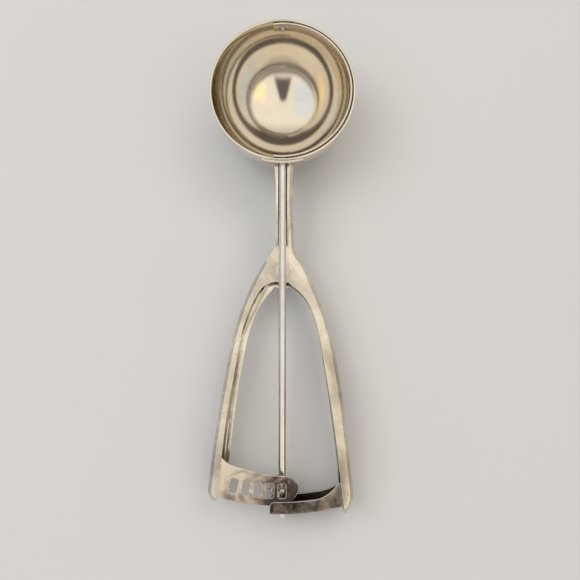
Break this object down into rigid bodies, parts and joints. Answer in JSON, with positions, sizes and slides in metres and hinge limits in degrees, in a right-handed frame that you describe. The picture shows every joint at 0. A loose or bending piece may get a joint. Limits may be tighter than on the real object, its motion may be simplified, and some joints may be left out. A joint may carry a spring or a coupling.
{
  "type": "lever ice cream scoop",
  "caption": "Squeeze-handle ice cream scoop: hemispherical bowl with a scraper strip that a rod turns, driven by a windowed rack on a sprung lever.",
  "frame": {"origin": "under the middle of the scoop's length, at the height of the bowl's lowest point", "axes": "+Y along the rod towards the bowl's tip, +Z out of the bowl's mouth, +X towards the fixed arm"},
  "size_m": [0.064, 0.216, 0.041],
  "materials": {
    "polished_steel": "polished stainless steel",
    "satin_steel": "satin pressed stainless steel",
    "rack_steel": "tumbled pressed steel",
    "rod_steel": "drawn bright steel wire",
    "spring_steel": "rolled spring steel",
    "rivet_steel": "turned steel"
  },
  "bodies": {
    "frame": {"bowl": "polished_steel", "bowl_saddle": "satin_steel", "tip_pin": "rivet_steel", "tip_washer": "rivet_steel", "fixed_handle": "satin_steel", "pivot_rivet": "rivet_steel", "pivot_sleeve": "rivet_steel", "pivot_washer": "rivet_steel", "spring": "spring_steel", "tail_bracket": "rack_steel"},
    "squeeze_lever": {"lever": "satin_steel", "rack_plate": "rack_steel"},
    "turning_rod": {"rod": "rod_steel", "star_wheel": "rack_steel", "tail_sleeve": "rivet_steel", "tail_clip": "rivet_steel", "scraper": "polished_steel", "neck_washer": "rivet_steel"}
  },
  "joints": [
    {"name": "lever_pivot", "type": "hinge", "parent": "frame", "child": "squeeze_lever", "pos_m": [0, -0.0046, 0.0244], "axis": [0, 0, 1], "range_deg": [0, 12], "stiffness_Nm_per_rad": 1.5, "springref_deg": -20.05, "deforming": ["spring"]},
    {"name": "rod_turn", "type": "hinge", "parent": "frame", "child": "turning_rod", "pos_m": [0, -0.0046, 0.032], "axis": [0, 1, 0], "range_deg": [0, 175]}
  ],
  "couplings": [
    {"joint": "rod_turn", "follows": "lever_pivot", "ratio": 14.563}
  ]
}
